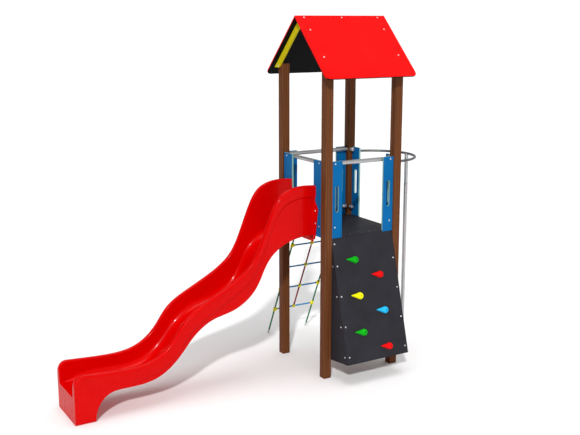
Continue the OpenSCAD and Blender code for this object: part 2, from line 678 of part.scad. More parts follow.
// Puts a child at a net line's top, with -Z running down the net
module at_net(x) translate([x, net_y, net_z]) rotate([net_a, 0, 0]) children();
module above_ground() intersection() {
    children();
    translate([-1000, 0, 0]) cube([2000, 2 * net_out, deck_z]);
}
net_l = net_z / cos(net_a);
module net_shank_hole() for (x = [-net_half, 0, net_half])
    translate([x, 0, 0]) rotate([-net_a, 0, 0]) rotate([90, 0, 0]) cylinder(d = stud_d + fit, h = bearer_t + 40);

module rope(x, s1) at_net(x) translate([0, 0, -s1]) cylinder(d = rope_d, h = s1 - rope_s);
module net_side_ropes() color("green") place() above_ground() for (x = [-1, 1]) rope(x * net_half, net_l + 20);
module net_middle_rope() color("firebrick") place() rope(0, rung_s(0) + 12);

module net_rungs() color("dodgerblue") place() for (i = [0:rung_n - 1], s = [-1, 1]) at_net(0)
    translate([s * net_half / 2, 0, -rung_s(i)]) rotate([0, 90, 0])
        cylinder(d = rope_d, h = net_half - rope_d - 2, center = true);

module net_clamps() color("gold") place() difference() {
    for (i = [0:rung_n - 1]) at_net(0) translate([0, 0, -rung_s(i)]) {
        sphere(d = clamp_ball);
        for (s = [-1, 1]) translate([s * net_half, 0, 0]) {
            translate([0, 0, -clamp_l / 2]) cylinder(d = clamp_d, h = clamp_l);
            rotate([0, -s * 90, 0]) cylinder(d = clamp_d - 2, h = clamp_d);
        }
    }
    for (x = [-net_half, 0, net_half]) at_net(x) translate([0, 0, -net_l]) cylinder(d = rope_d + fit, h = net_l);
    for (i = [0:rung_n - 1]) at_net(0) translate([-net_half, 0, -rung_s(i)]) rotate([0, 90, 0])
        cylinder(d = rope_d + fit, h = 2 * net_half);
}

module net_ferrules() color("silver") place() {
    for (x = [-net_half, 0, net_half]) at_net(x) {
        translate([0, 0, -link_s]) rotate([90, 0, 0]) ring(ring_r, ring_wire);
        difference() {
            translate([0, 0, -ferrule_s - ferrule_l]) cylinder(d = ferrule_d, h = ferrule_l);
            translate([0, 0, -ferrule_s - ferrule_l - 1]) cylinder(d = rope_d + fit, h = ferrule_s + ferrule_l - rope_s + 1);
        }
    }
    above_ground() for (x = [-1, 1]) at_net(x * net_half) difference() {
        translate([0, 0, -net_l - 20]) cylinder(d = ferrule_d, h = ferrule_l + 20);
        translate([0, 0, -net_l - 21]) cylinder(d = rope_d + fit, h = ferrule_l + 22);
    }
}

module net_eye_bolts() color("silver") place() for (x = [-net_half, 0, net_half]) translate([x, net_y, net_z]) {
    rotate([0, 90, 0]) ring(ring_r, ring_wire);
    translate([0, -ring_r + 1, 0]) rotate([90, 0, 0]) cylinder(d = stud_d, h = bearer_t + 18);
    translate([0, -net_y + inner, 0]) rotate([90, 0, 0]) cylinder(d = 18, h = 8, $fn = 6);
}

post(-1, -1);  // post_slide_wall
post(-1, 1);  // post_slide_net
post(1, -1);  // post_pole_wall
post(1, 1);  // post_pole_net
deck_board();
deck_bearer(-1);  // deck_bearer_wall
deck_bearer(1);  // deck_bearer_net
deck_joists();
bearer_plates();
deck_screws();
panel(SLIDE, 1);  // panel_slide_wall
panel(SLIDE, -1);  // panel_slide_net
panel(WALL, -1);  // panel_wall_slide
panel(WALL, 1);  // panel_wall_pole
panel(NET, 1);  // panel_net_slide
panel(NET, -1);  // panel_net_pole
panel(POLE, -1);  // panel_pole_wall
panel(POLE, 1);  // panel_pole_net
panel_bolts();
rail_lugs();
rail_studs();
rail_plugs();
handrail(SLIDE);  // handrail_slide
handrail(WALL);  // handrail_wall
handrail(NET);  // handrail_net
bow_rail();
pole_lower();
pole_upper();
roof_sheet(-1);  // roof_sheet_wall
roof_sheet(1);  // roof_sheet_net
rafter(-1, -1);  // rafter_slide_wall
rafter(-1, 1);  // rafter_slide_net
rafter(1, -1);  // rafter_pole_wall
rafter(1, 1);  // rafter_pole_net
ridge_angle();
roof_brackets();
roof_bolts();
coach_screws();
wall_board();
wall_cheek(-1);  // wall_cheek_slide
wall_cheek(1);  // wall_cheek_pole
wall_battens();
wall_bolts();
hold(0, "green");  // hold_green_high
hold(1, "red");  // hold_red_high
hold(2, "yellow");  // hold_yellow
hold(3, "deepskyblue");  // hold_blue
hold(4, "green");  // hold_green_low
hold(5, "red");  // hold_red_low
hold_bolts();
slide_chute();
slide_bolts();
net_side_ropes();
net_middle_rope();
net_rungs();
net_clamps();
net_ferrules();
net_eye_bolts();
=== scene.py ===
"""Looks of a roofed play tower with a wave slide, climbing wall, climbing net and fireman's pole."""
import math

import bpy
from mathutils import Matrix, Vector


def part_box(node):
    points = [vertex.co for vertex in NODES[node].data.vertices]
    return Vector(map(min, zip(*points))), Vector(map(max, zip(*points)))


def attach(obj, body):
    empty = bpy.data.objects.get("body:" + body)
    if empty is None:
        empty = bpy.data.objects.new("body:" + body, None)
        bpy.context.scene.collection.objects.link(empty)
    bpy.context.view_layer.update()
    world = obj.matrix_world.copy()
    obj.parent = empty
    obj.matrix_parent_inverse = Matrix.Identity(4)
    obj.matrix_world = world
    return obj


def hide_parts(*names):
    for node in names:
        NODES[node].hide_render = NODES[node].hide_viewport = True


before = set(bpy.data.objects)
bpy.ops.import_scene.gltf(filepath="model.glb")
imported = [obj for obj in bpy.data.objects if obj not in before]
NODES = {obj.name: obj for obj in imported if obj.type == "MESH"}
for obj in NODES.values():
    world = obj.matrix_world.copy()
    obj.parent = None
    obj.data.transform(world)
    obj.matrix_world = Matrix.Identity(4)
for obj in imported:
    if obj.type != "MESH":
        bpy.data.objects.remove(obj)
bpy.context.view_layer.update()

# ---------- sizes in metres, from the frame ----------

post_low, post_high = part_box("post_slide_wall")
far_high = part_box("post_pole_net")[1]
CENTRE = Vector(((post_low.x + far_high.x) / 2, (post_low.y + far_high.y) / 2, 0))
INNER = CENTRE.x - post_high.x
OUTER = CENTRE.x - post_low.x
PANEL_OUT = CENTRE.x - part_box("panel_slide_wall")[0].x
PANEL_IN = CENTRE.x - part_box("panel_slide_wall")[1].x
PANEL_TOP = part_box("panel_slide_wall")[1].z
DECK_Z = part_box("deck_board")[1].z
DECK_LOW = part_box("deck_board")[0].z
RAIL_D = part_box("pole_lower")[1].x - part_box("pole_lower")[0].x
WALL_LEAN = math.radians(15.1)
ROPE_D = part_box("net_middle_rope")[1].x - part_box("net_middle_rope")[0].x
STEEL_WALL = 0.0025
SIDE_TURN = {"pole": 0.0, "net": math.pi / 2, "slide": math.pi, "wall": -math.pi / 2}


# ---------- modelling helpers ----------

def deselect():
    if bpy.context.object and bpy.context.object.mode != "OBJECT":
        bpy.ops.object.mode_set(mode="OBJECT")
    bpy.ops.object.select_all(action="DESELECT")


def activate(obj):
    deselect()
    obj.select_set(True)
    bpy.context.view_layer.objects.active = obj
    return obj


def edit(obj, kind="VERT"):
    activate(obj)
    bpy.ops.object.mode_set(mode="EDIT")
    bpy.ops.mesh.select_mode(type=kind)


def pick(obj, test, kind="VERT"):
    """Leaves edit mode, selects the vertices, edges or faces that pass the test, and goes back in."""
    bpy.ops.object.mode_set(mode="EDIT")
    bpy.ops.mesh.select_mode(type=kind)
    bpy.ops.mesh.select_all(action="DESELECT")
    bpy.ops.object.mode_set(mode="OBJECT")
    mesh = obj.data
    if kind == "VERT":
        for v in mesh.vertices:
            v.select = test(v.co)
    elif kind == "EDGE":
        for e in mesh.edges:
            e.select = test(mesh.vertices[e.vertices[0]].co, mesh.vertices[e.vertices[1]].co)
    else:
        for f in mesh.polygons:
            f.select = test(f.center, f.normal)
    bpy.ops.object.mode_set(mode="EDIT")


def modify(obj, kind, **settings):
    """Adds a modifier and applies it."""
    activate(obj)
    mod = obj.modifiers.new(kind.title(), kind)
    for key, value in settings.items():
        setattr(mod, key, value)
    bpy.ops.object.modifier_apply(modifier=mod.name)


def settle(obj):
    """Puts the object's place into its mesh."""
    activate(obj)
    bpy.ops.object.transform_apply(location=True, rotation=True, scale=True)
    return obj


def smooth(obj, degrees=32):
    activate(obj)
    bpy.ops.object.shade_smooth_by_angle(angle=math.radians(degrees))


def weld(obj, reach=1e-5):
    edit(obj)
    bpy.ops.mesh.select_all(action="SELECT")
    bpy.ops.mesh.remove_doubles(threshold=reach)
    bpy.ops.mesh.normals_make_consistent(inside=False)
    bpy.ops.object.mode_set(mode="OBJECT")


def join(parts, name):
    deselect()
    for p in parts:
        p.select_set(True)
    bpy.context.view_layer.objects.active = parts[0]
    if len(parts) > 1:
        bpy.ops.object.join()
    parts[0].name = name
    parts[0].data.name = name
    return parts[0]


def finish_piece(obj, name, material, node=None, more=()):
    """Names a piece, gives it its material and its place in the frame."""
    settle(obj)
    obj.name = name
    obj.data.name = name
    obj.data.materials.clear()
    obj.data.materials.append(material)
    for extra in more:
        obj.data.materials.append(extra)
    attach(obj, "root")
    if node:
        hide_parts(*([node] if isinstance(node, str) else node))
    return obj


def stamp(master, places, name):
    """Copies a modelled master to each place, each copy with its own mesh, and joins them."""
    copies = []
    for place in places:
        copy = master.copy()
        copy.data = master.data.copy()
        bpy.context.scene.collection.objects.link(copy)
        copy.matrix_world = place
        copies.append(copy)
    for c in copies:
        settle(c)
    return join(copies, name)


def remove(obj):
    bpy.data.objects.remove(obj, do_unlink=True)


def turned(x, y, z, turn=0.0, tilt=0.0):
    """Place at (x, y, z) whose +Z is tipped by tilt towards +X and then turned about Z."""
    return Matrix.Translation((x, y, z)) @ Matrix.Rotation(turn, 4, "Z") @ Matrix.Rotation(tilt, 4, "Y")


def eased_copy(node, width, segments=3, angle=40):
    """A welded copy of a sawn or plate CAD piece, with its sharp edges eased."""
    mesh = NODES[node].data.copy()
    obj = bpy.data.objects.new(node + "_eased", mesh)
    bpy.context.scene.collection.objects.link(obj)
    edit(obj)
    bpy.ops.mesh.select_all(action="SELECT")
    bpy.ops.mesh.remove_doubles(threshold=1e-5)
    bpy.ops.mesh.dissolve_limited(angle_limit=math.radians(0.6))
    bpy.ops.object.mode_set(mode="OBJECT")
    modify(obj, "BEVEL", width=width, segments=segments, limit_method="ANGLE",
           angle_limit=math.radians(angle), harden_normals=False)
    smooth(obj, 40)
    modify(obj, "WEIGHTED_NORMAL", keep_sharp=True)
    return obj


def tube(length, diameter, wall=STEEL_WALL, sides=48, rim=0.0006):
    """An open tube along +Z from the origin, with eased rims."""
    deselect()
    bpy.ops.mesh.primitive_cylinder_add(vertices=sides, radius=diameter / 2, depth=length,
                                        end_fill_type="NOTHING", location=(0, 0, length / 2))
    obj = settle(bpy.context.object)
    edit(obj)
    bpy.ops.mesh.select_all(action="SELECT")
    bpy.ops.mesh.normals_make_consistent(inside=False)
    bpy.ops.object.mode_set(mode="OBJECT")
    modify(obj, "SOLIDIFY", thickness=wall, offset=-1)
    modify(obj, "BEVEL", width=rim, segments=2, limit_method="ANGLE", angle_limit=math.radians(50))
    smooth(obj)
    return obj


def rod(length, diameter, sides=32, ease=0.001):
    """A solid round bar along +Z from the origin, with eased ends."""
    deselect()
    bpy.ops.mesh.primitive_cylinder_add(vertices=sides, radius=diameter / 2, depth=length,
                                        location=(0, 0, length / 2))
    obj = settle(bpy.context.object)
    modify(obj, "BEVEL", width=ease, segments=3, limit_method="ANGLE", angle_limit=math.radians(50))
    smooth(obj)
    return obj


def cylinder(diameter, depth, at=(0, 0, 0), sides=32, turn=(0, 0, 0)):
    """A plain cylinder centred on a place."""
    deselect()
    bpy.ops.mesh.primitive_cylinder_add(vertices=sides, radius=diameter / 2, depth=depth, location=at,
                                        rotation=turn)
    return settle(bpy.context.object)


def around(axis):
    """A quarter turn about an axis."""
    return Matrix.Rotation(math.pi / 2, 4, axis)


# ---------- shader helpers ----------

class Signal:
    """A shader socket that ordinary arithmetic works on."""

    def __init__(self, maker, socket):
        self.maker, self.socket = maker, socket

    def _math(self, operation, a, b):
        return self.maker.node("ShaderNodeMath", {"operation": operation}, {0: a, 1: b})

    def __add__(self, other):
        return self._math("ADD", self, other)

    def __sub__(self, other):
        return self._math("SUBTRACT", self, other)

    def __rsub__(self, other):
        return self._math("SUBTRACT", other, self)

    def __mul__(self, other):
        return self._math("MULTIPLY", self, other)

    def __gt__(self, other):
        return self._math("GREATER_THAN", self, other)

    __radd__ = __add__
    __rmul__ = __mul__


class Finish:
    """One material, built from its base colour up."""

    def __init__(self, name, **settings):
        self.material = bpy.data.materials.new(name)
        self.material.use_nodes = True
        self.tree = self.material.node_tree
        self.shader = self.tree.nodes["Principled BSDF"]
        for key, value in settings.items():
            self.shader.inputs[key.replace("_", " ")].default_value = value

    def node(self, kind, settings=None, values=None, out=0):
        made = self.tree.nodes.new(kind)
        for key, value in (settings or {}).items():
            if key == "stops":
                ramp = made.color_ramp.elements
                for i, (at, colour) in enumerate(value):
                    stop = ramp[i] if i < 2 else ramp.new(at)
                    stop.position, stop.color = at, (*colour, 1)
            else:
                setattr(made, key, value)
        for key, value in (values or {}).items():
            if isinstance(value, Signal):
                self.tree.links.new(value.socket, made.inputs[key])
            else:
                made.inputs[key].default_value = value
        return Signal(self, made.outputs[out])

    def place(self, scale=(1, 1, 1), turn=(0, 0, 0), source="Object"):
        coords = self.node("ShaderNodeTexCoord", out=source)
        return self.node("ShaderNodeMapping", None, {"Vector": coords, "Scale": scale, "Rotation": turn})

    def noise(self, scale, place=None, detail=4.0, rough=0.55):
        return self.node("ShaderNodeTexNoise", None, {
            "Vector": place or self.place(), "Scale": scale, "Detail": detail, "Roughness": rough})

    def ramp(self, signal, *stops):
        return self.node("ShaderNodeValToRGB", {"stops": stops}, {"Fac": signal})

    def span(self, signal, low, high, new_low, new_high):
        return self.node("ShaderNodeMapRange", None, {
            "Value": signal, "From Min": low, "From Max": high, "To Min": new_low, "To Max": new_high})

    def blend(self, share, a, b):
        mix = self.tree.nodes.new("ShaderNodeMix")
        mix.data_type = "RGBA"
        for socket, value in ((mix.inputs[0], share), (mix.inputs[6], a), (mix.inputs[7], b)):
            if isinstance(value, Signal):
                self.tree.links.new(value.socket, socket)
            else:
                socket.default_value = (*value, 1) if isinstance(value, tuple) else value
        return Signal(self, mix.outputs[2])

    def bump(self, height, strength, distance, under=None):
        values = {"Height": height, "Strength": strength, "Distance": distance}
        if under:
            values["Normal"] = under
        return self.node("ShaderNodeBump", None, values)

    def set(self, **links):
        for key, value in links.items():
            self.tree.links.new(value.socket, self.shader.inputs[key.replace("_", " ")])
        return self.material


def moulded(name, colour, rough, grain=900, depth=0.00012):
    """Moulded or sheet plastic: a fine orange-peel skin, slight mottling and dull handled patches."""
    f = Finish(name, Specular_IOR_Level=0.06)
    patches = f.noise(3.1, detail=5)
    skin = f.noise(grain, detail=2)
    dark = tuple(c * 0.9 for c in colour)
    pale = tuple(min(1, c * 1.06 + 0.003) for c in colour)
    return f.set(Base_Color=f.ramp(patches, (0.32, dark), (0.68, pale)),
                 Roughness=f.span(patches, 0.3, 0.7, rough - 0.05, rough + 0.09),
                 Normal=f.bump(skin, 0.35, depth))


def slide_plastic():
    """Glossy red polyethylene with fine rub lines down the bed."""
    f = Finish("red_slide_plastic", Coat_Weight=0.1, Coat_Roughness=0.07, Specular_IOR_Level=0.04)
    cloud = f.noise(2.2, detail=4)
    rubs = f.noise(60, f.place((0.12, 2.4, 0.12)), detail=6, rough=0.7)
    skin = f.noise(420, detail=2)
    plain = f.ramp(cloud, (0.3, (0.56, 0, 0)), (0.7, (0.60, 0.0002, 0.0002)))
    colour = f.blend(f.span(rubs, 0.56, 0.8, 0, 0.12), plain, (0.66, 0.004, 0.003))
    return f.set(Base_Color=colour, Roughness=f.span(rubs, 0.4, 0.75, 0.24, 0.36),
                 Normal=f.bump(skin, 0.22, 0.00025))


def timber(name, light, dark, axis="Z", stain=True):
    """Planed timber: long grain along one axis with growth rings, pores and fine checks."""
    f = Finish(name, Specular_IOR_Level=0.1)
    stretch = {"X": (0.06, 1, 1), "Y": (1, 0.06, 1), "Z": (1, 1, 0.06)}[axis]
    warp = f.noise(7, f.place(stretch), detail=3)
    rings = f.node("ShaderNodeTexWave",
                   {"wave_type": "RINGS", "rings_direction": axis, "wave_profile": "SIN"},
                   {"Vector": f.place(stretch), "Scale": 16, "Distortion": 5.5,
                    "Detail": 3, "Detail Scale": 1.6}, out="Fac")
    fibre = f.noise(260, f.place(tuple(0.045 if s < 1 else 1 for s in stretch)), detail=5, rough=0.65)
    grain = rings * 0.45 + fibre * 0.4 + warp * 0.25
    checks = f.noise(90, f.place(tuple(0.02 if s < 1 else 1 for s in stretch)), detail=3) > 0.73
    wood = f.ramp(grain, (0.33, dark), (0.75, light))
    colour = f.blend(checks * 0.55, wood, tuple(c * 0.35 for c in dark))
    height = fibre * 0.5 + rings * 0.2 - checks * 0.8
    dull, bright = (0.62, 0.48) if stain else (0.78, 0.66)
    return f.set(Base_Color=colour, Roughness=f.span(grain, 0.3, 0.8, dull, bright),
                 Normal=f.bump(height, 0.5, 0.0006))


def textured_board(name, colour, fleck, rough=0.55):
    """Pressed outdoor board: a hammered grain with faint flecks."""
    f = Finish(name, Specular_IOR_Level=0.1)
    grain = f.node("ShaderNodeTexVoronoi", {"feature": "SMOOTH_F1"}, {"Vector": f.place(), "Scale": 420})
    cloud = f.noise(5, detail=5)
    flecks = f.noise(700, detail=1) > 0.7
    base = f.ramp(cloud, (0.3, tuple(c * 0.82 for c in colour)), (0.7, tuple(c * 1.15 for c in colour)))
    return f.set(Base_Color=f.blend(flecks * 0.5, base, fleck),
                 Roughness=f.span(cloud, 0.3, 0.7, rough - 0.06, rough + 0.08),
                 Normal=f.bump(grain, 0.5, 0.0005))


def steel(name, colour, rough=0.38, spangle=90.0):
    """Zinc-coated steel: soft spangle, light drawing marks and a slight bloom."""
    f = Finish(name, Metallic=0.85)
    cells = f.node("ShaderNodeTexVoronoi", {"feature": "F1"}, {"Vector": f.place(), "Scale": spangle},
                   out="Color")
    bloom = f.noise(14, detail=5)
    tint = f.blend(0.12, colour, cells)
    dull = f.blend(f.span(bloom, 0.45, 0.75, 0, 0.35), tint, tuple(c * 0.8 for c in colour))
    return f.set(Base_Color=dull, Roughness=f.span(bloom, 0.3, 0.7, rough - 0.08, rough + 0.12),
                 Normal=f.bump(f.noise(500, detail=2), 0.15, 0.0001))


def rope_yarn(name, colour):
    """Braided rope cover: short bright and dark yarn flecks on each strand."""
    f = Finish(name, Specular_IOR_Level=0.1)
    yarn = f.noise(1500, f.place((1, 1, 0.35)), detail=3)
    dirt = f.noise(22, detail=4)
    dark = tuple(c * 0.45 for c in colour)
    light = tuple(min(1, c * 1.3 + 0.01) for c in colour)
    base = f.ramp(yarn, (0.35, dark), (0.65, light))
    return f.set(Base_Color=f.blend(f.span(dirt, 0.5, 0.8, 0, 0.3), base, (0.05, 0.045, 0.04)),
                 Roughness=f.span(yarn, 0.3, 0.7, 0.9, 0.72), Normal=f.bump(yarn, 0.6, 0.0006))


RED_SLIDE = slide_plastic()
RED_ROOF = moulded("red_roof_sheet", (0.78, 0.001, 0.001), 0.5)
ROOF_BACK = moulded("dark_roof_underside", (0.002, 0.002, 0.0025), 0.6)
BLUE = moulded("blue_panel_board", (0.0, 0.118, 0.335), 0.45)
PANEL_CORE = moulded("pale_panel_core", (0.24, 0.44, 0.42), 0.5)
YELLOW = moulded("yellow_rafter_board", (0.62, 0.52, 0.006), 0.45)
DARK = textured_board("anthracite_board", (0.022, 0.0215, 0.027), (0.036, 0.036, 0.042))
BROWN = timber("brown_stained_timber", (0.150, 0.050, 0.016), (0.095, 0.030, 0.009))
PALE_X = timber("pale_timber_along_x", (0.46, 0.30, 0.15), (0.32, 0.19, 0.09), "X", False)
PALE_Y = timber("pale_timber_along_y", (0.46, 0.30, 0.15), (0.32, 0.19, 0.09), "Y", False)
PALE_Z = timber("pale_timber_upright", (0.46, 0.30, 0.15), (0.32, 0.19, 0.09), "Z", False)
GALVANISED = steel("galvanised_tube_steel", (0.50, 0.505, 0.515))
DULL_STEEL = steel("dull_bow_steel", (0.11, 0.11, 0.115), 0.42)
ZINC = steel("bright_zinc", (0.72, 0.73, 0.74), 0.3, 400.0)
CAST = steel("cast_aluminium", (0.74, 0.73, 0.71), 0.34, 250.0)
GREEN_ROPE = rope_yarn("green_rope_yarn", (0.01, 0.21, 0.09))
RED_ROPE = rope_yarn("dark_red_rope_yarn", (0.32, 0.01, 0.015))
BLUE_ROPE = rope_yarn("blue_rope_yarn", (0.015, 0.24, 0.55))
CLAMP_YELLOW = moulded("yellow_clamp_plastic", (0.82, 0.78, 0.02), 0.36)
HOLD_COLOURS = {"green": (0.004, 0.42, 0.008), "red": (0.80, 0.003, 0.003), "yellow": (0.92, 0.86, 0.004),
                "blue": (0.02, 0.47, 0.86)}
HOLDS = {k: moulded(k + "_hold_resin", c, 0.36, 500, 0.0004) for k, c in HOLD_COLOURS.items()}


# ---------- carpentry, from eased copies of the sawn pieces ----------

def carpentry(node, material, ease, segments=3, more=()):
    return finish_piece(eased_copy(node, ease, segments), node + "_piece", material, node, more)


def edges_take(obj, index, test):
    """Gives the faces that pass the test another of the piece's materials."""
    for face in obj.data.polygons:
        if test(face.center, face.normal):
            face.material_index = index


def make_carpentry():
    for name in ("post_slide_wall", "post_slide_net", "post_pole_wall", "post_pole_net"):
        carpentry(name, BROWN, 0.0025)
    for name in ("deck_board", "wall_board", "wall_cheek_slide", "wall_cheek_pole"):
        carpentry(name, DARK, 0.002)
    for name in ("deck_bearer_wall", "deck_bearer_net"):
        carpentry(name, PALE_X, 0.003)
    carpentry("deck_joists", PALE_Y, 0.003)
    carpentry("wall_battens", PALE_Z, 0.003)
    for side in ("slide_wall", "slide_net", "pole_wall", "pole_net",
                 "wall_slide", "wall_pole", "net_slide", "net_pole"):
        axis = 0 if side.startswith(("slide", "pole")) else 1
        panel = carpentry("panel_" + side, BLUE, 0.0022, 3, (PANEL_CORE,))
        edges_take(panel, 1, lambda c, n, a=axis: abs(n[a]) < 0.35)
    for side in ("wall", "net"):
        sheet = carpentry("roof_sheet_" + side, RED_ROOF, 0.0022, 3, (ROOF_BACK,))
        edges_take(sheet, 1, lambda c, n: n.z < -0.5)
    for name in ("rafter_slide_wall", "rafter_slide_net", "rafter_pole_wall", "rafter_pole_net"):
        carpentry(name, YELLOW, 0.002)
    for name in ("bearer_plates", "ridge_angle", "roof_brackets"):
        carpentry(name, ZINC, 0.0005, 2)


make_carpentry()


# ---------- slide ----------

# Spline points of the slide's underside and rims: distance out from its back plane, and height
UNDER = [(0, 1.5), (0.145, 1.51), (0.33, 1.465), (0.48, 1.38), (0.595, 1.24), (0.685, 0.99), (0.94, 0.82),
         (1.19, 0.805), (1.41, 0.64), (1.52, 0.475), (1.785, 0.245), (2.195, 0.28), (2.612, 0.245)]
RIM = [(0, 2.028), (0.18, 2.045), (0.42, 1.99), (0.535, 1.74), (0.62, 1.52), (0.735, 1.26), (1.025, 1.085),
       (1.305, 0.955), (1.495, 0.835), (1.605, 0.625), (1.845, 0.44), (2.245, 0.45), (2.612, 0.478)]
SLIDE_HALF = 0.264
SLIDE_WALL = 0.050
BAND_DEPTH = 0.125
BAND_PROUD = 0.012
# The band runs out into the flat wall over the foot
BAND_END = 1.75
BAND_FADE = 0.40
# The rounding between bed and walls, which gets tighter towards the front lip
BED_FILLET = 0.075
LIP_FILLET = 0.010
LIP_START = 2.42
BED_T = 0.015
FOOT_L = 0.198
FOOT_CURVE = 0.228
FOOT_TOP = 0.265
LIP_R = 0.100
SLIDE_BACK = CENTRE.x - PANEL_OUT - 0.0002
SLIDE_L = RIM[-1][0]
FOOT_START = SLIDE_L - FOOT_L - FOOT_CURVE
RIM_OUTER_R = 0.020
RIM_INNER_R = 0.016
WALL_DRAFT = 0.010
FRONT_EASE = 0.007
STATIONS = 96


def spline(points, t):
    """A point on a cubic spline through the neighbourhood of its control points."""
    last = len(points) - 1
    i = min(int(t), last - 1)
    u = t - i
    p = [Vector(q) for q in points]
    before = p[i - 1] if i else 2 * p[0] - p[1]
    after = p[i + 2] if i + 2 <= last else 2 * p[last] - p[last - 1]
    return ((1 - u) ** 3 * before + (3 * u ** 3 - 6 * u * u + 4) * p[i]
            + (1 + 3 * u + 3 * u * u - 3 * u ** 3) * p[i + 1] + u ** 3 * after) / 6


def spline_at(points, x):
    """Where along the spline its distance out reaches x."""
    low, high = 0.0, float(len(points) - 1)
    for _ in range(40):
        mid = (low + high) / 2
        if spline(points, mid)[0] < x:
            low = mid
        else:
            high = mid
    return (low + high) / 2


def foot_height(x, under):
    """Height of the slide's lower outline: its underside, then the foot's hollow curve and the ground."""
    if x <= FOOT_START:
        return under
    if x >= SLIDE_L - FOOT_L:
        return 0.0
    return min(under, FOOT_TOP * math.sqrt(max(0, 1 - ((x - FOOT_START) / FOOT_CURVE) ** 2)))


def arc(cy, cz, r, a0, a1, n):
    return [(cy + r * math.cos(math.radians(a0 + (a1 - a0) * i / n)),
             cz + r * math.sin(math.radians(a0 + (a1 - a0) * i / n))) for i in range(n + 1)]


def slide_half_section(under, bed, top, proud, fillet):
    """Half of the slide's outline at one station, as (y, height).

    It runs from under the bed, up the outside and over the rim to the bed's middle."""
    low_y = SLIDE_HALF - proud
    mouth = SLIDE_HALF - SLIDE_WALL
    bed_r = min(fillet, (top - bed) * 0.45)
    toe = mouth - WALL_DRAFT
    crease = max(top - BAND_DEPTH, under + 0.030)
    out = [(0, under), (0.10, under), (0.18, under)]
    out += arc(low_y - 0.016, under + 0.016, 0.016, -90, 0, 4)
    out += [(low_y, (under + crease) / 2), (low_y, crease - 0.010), (low_y + 0.07 * proud, crease - 0.004),
            (low_y + 0.35 * proud, crease + 0.001), (low_y + 0.85 * proud, crease + 0.006),
            (SLIDE_HALF, crease + 0.013)]
    out += [(SLIDE_HALF, (crease + top) / 2)]
    out += arc(SLIDE_HALF - RIM_OUTER_R, top - RIM_OUTER_R, RIM_OUTER_R, 0, 90, 6)
    wall_high, wall_low = top - RIM_INNER_R, bed + bed_r
    out += arc(mouth + RIM_INNER_R, wall_high, RIM_INNER_R, 90, 180, 6)
    out += [(mouth + (toe - mouth) * s, wall_high + (wall_low - wall_high) * s) for s in (0.33, 0.66)]
    out += arc(toe - bed_r, wall_low, bed_r, 0, -90, 9)
    return out + [(0.09, bed), (0, bed)]


def slide_stations():
    """Places along the underside: even on the way down, closer over the foot's curve and at the front."""
    t_end = spline_at(UNDER, FOOT_START)
    ts = [t_end * i / STATIONS for i in range(STATIONS)]
    xs = [FOOT_START + FOOT_CURVE * math.cos(math.radians(a))
          for a in (90, 80, 70, 60, 50, 41, 33, 25, 17, 10, 4, 0)]
    front = SLIDE_L - LIP_R
    xs += [xs[-1] + (front - xs[-1]) * s for s in (0.05, 0.3, 0.6, 1.0)]
    xs += [front + LIP_R * math.sin(math.radians(a)) for a in (12, 24, 36, 48, 58, 67, 75, 81, 86, 90)]
    return ts + [spline_at(UNDER, x) for x in xs]


def clamp(share):
    return min(1.0, max(0.0, share))


def slide_rings():
    """The slide's outline at every station, as (distance out, y, height)."""
    rings = []
    for t in slide_stations():
        (out, under), (rim_out, rim) = spline(UNDER, t), spline(RIM, t)
        drop = LIP_R - math.sqrt(max(0.0, LIP_R ** 2 - max(0.0, out - (SLIDE_L - LIP_R)) ** 2))
        fade = clamp((out - BAND_END) / BAND_FADE)
        proud = BAND_PROUD * (1 - fade * fade * (3 - 2 * fade)) + 0.0003
        sharpen = clamp((out - LIP_START) / (SLIDE_L - LIP_START))
        fillet = BED_FILLET + (LIP_FILLET - BED_FILLET) * sharpen * (2 - sharpen)
        half = slide_half_section(foot_height(out, under), under + BED_T, rim - drop, proud, fillet)
        outline = half + [(-y, z) for y, z in half[-2:0:-1]]
        rings.append([(out + (rim_out - out) * max(0.0, z - under) / (rim - under), y, z)
                      for y, z in outline])
    return rings


def wrap_grid(rings):
    """A flat grid, one row to a station and one column to an outline point, wrapped into the trough."""
    count, rows = len(rings[0]), len(rings) - 1
    deselect()
    bpy.ops.mesh.primitive_grid_add(x_subdivisions=count, y_subdivisions=rows, size=1)
    body = bpy.context.object
    for v in body.data.vertices:
        column, row = round((v.co.x + 0.5) * count), round((v.co.y + 0.5) * rows)
        out, y, z = rings[row][column % count]
        v.co = (SLIDE_BACK - out, CENTRE.y + y, z)
    weld(body, 1e-6)
    return body


def close_end(body, end_x):
    """Fills the open outline at one end with a face."""
    def at_end(a, b):
        return abs(a.x - end_x) < 1e-4 and abs(b.x - end_x) < 1e-4
    pick(body, at_end, "EDGE")
    bpy.ops.mesh.select_non_manifold(extend=False, use_wire=False, use_multi_face=False,
                                     use_non_contiguous=False, use_verts=False)
    bpy.ops.object.mode_set(mode="OBJECT")
    for e in body.data.edges:
        e.select = e.select and at_end(*(body.data.vertices[i].co for i in e.vertices))
    bpy.ops.object.mode_set(mode="EDIT")
    bpy.ops.mesh.edge_face_add()


def ease_front(body):
    """Rounds the edges of the front face."""
    pick(body, lambda a, b: False, "EDGE")
    bpy.ops.object.mode_set(mode="OBJECT")
    face = min(body.data.polygons, key=lambda p: (round(p.center.x, 4), -p.area))
    front_edges = set(face.edge_keys)
    for e in body.data.edges:
        e.select = tuple(sorted(e.vertices)) in front_edges
    bpy.ops.object.mode_set(mode="EDIT")
    bpy.ops.mesh.bevel(offset=FRONT_EASE, segments=3, profile=0.5, affect="EDGES", clamp_overlap=True)
    bpy.ops.mesh.select_all(action="SELECT")
    bpy.ops.mesh.normals_make_consistent(inside=False)
    bpy.ops.object.mode_set(mode="OBJECT")


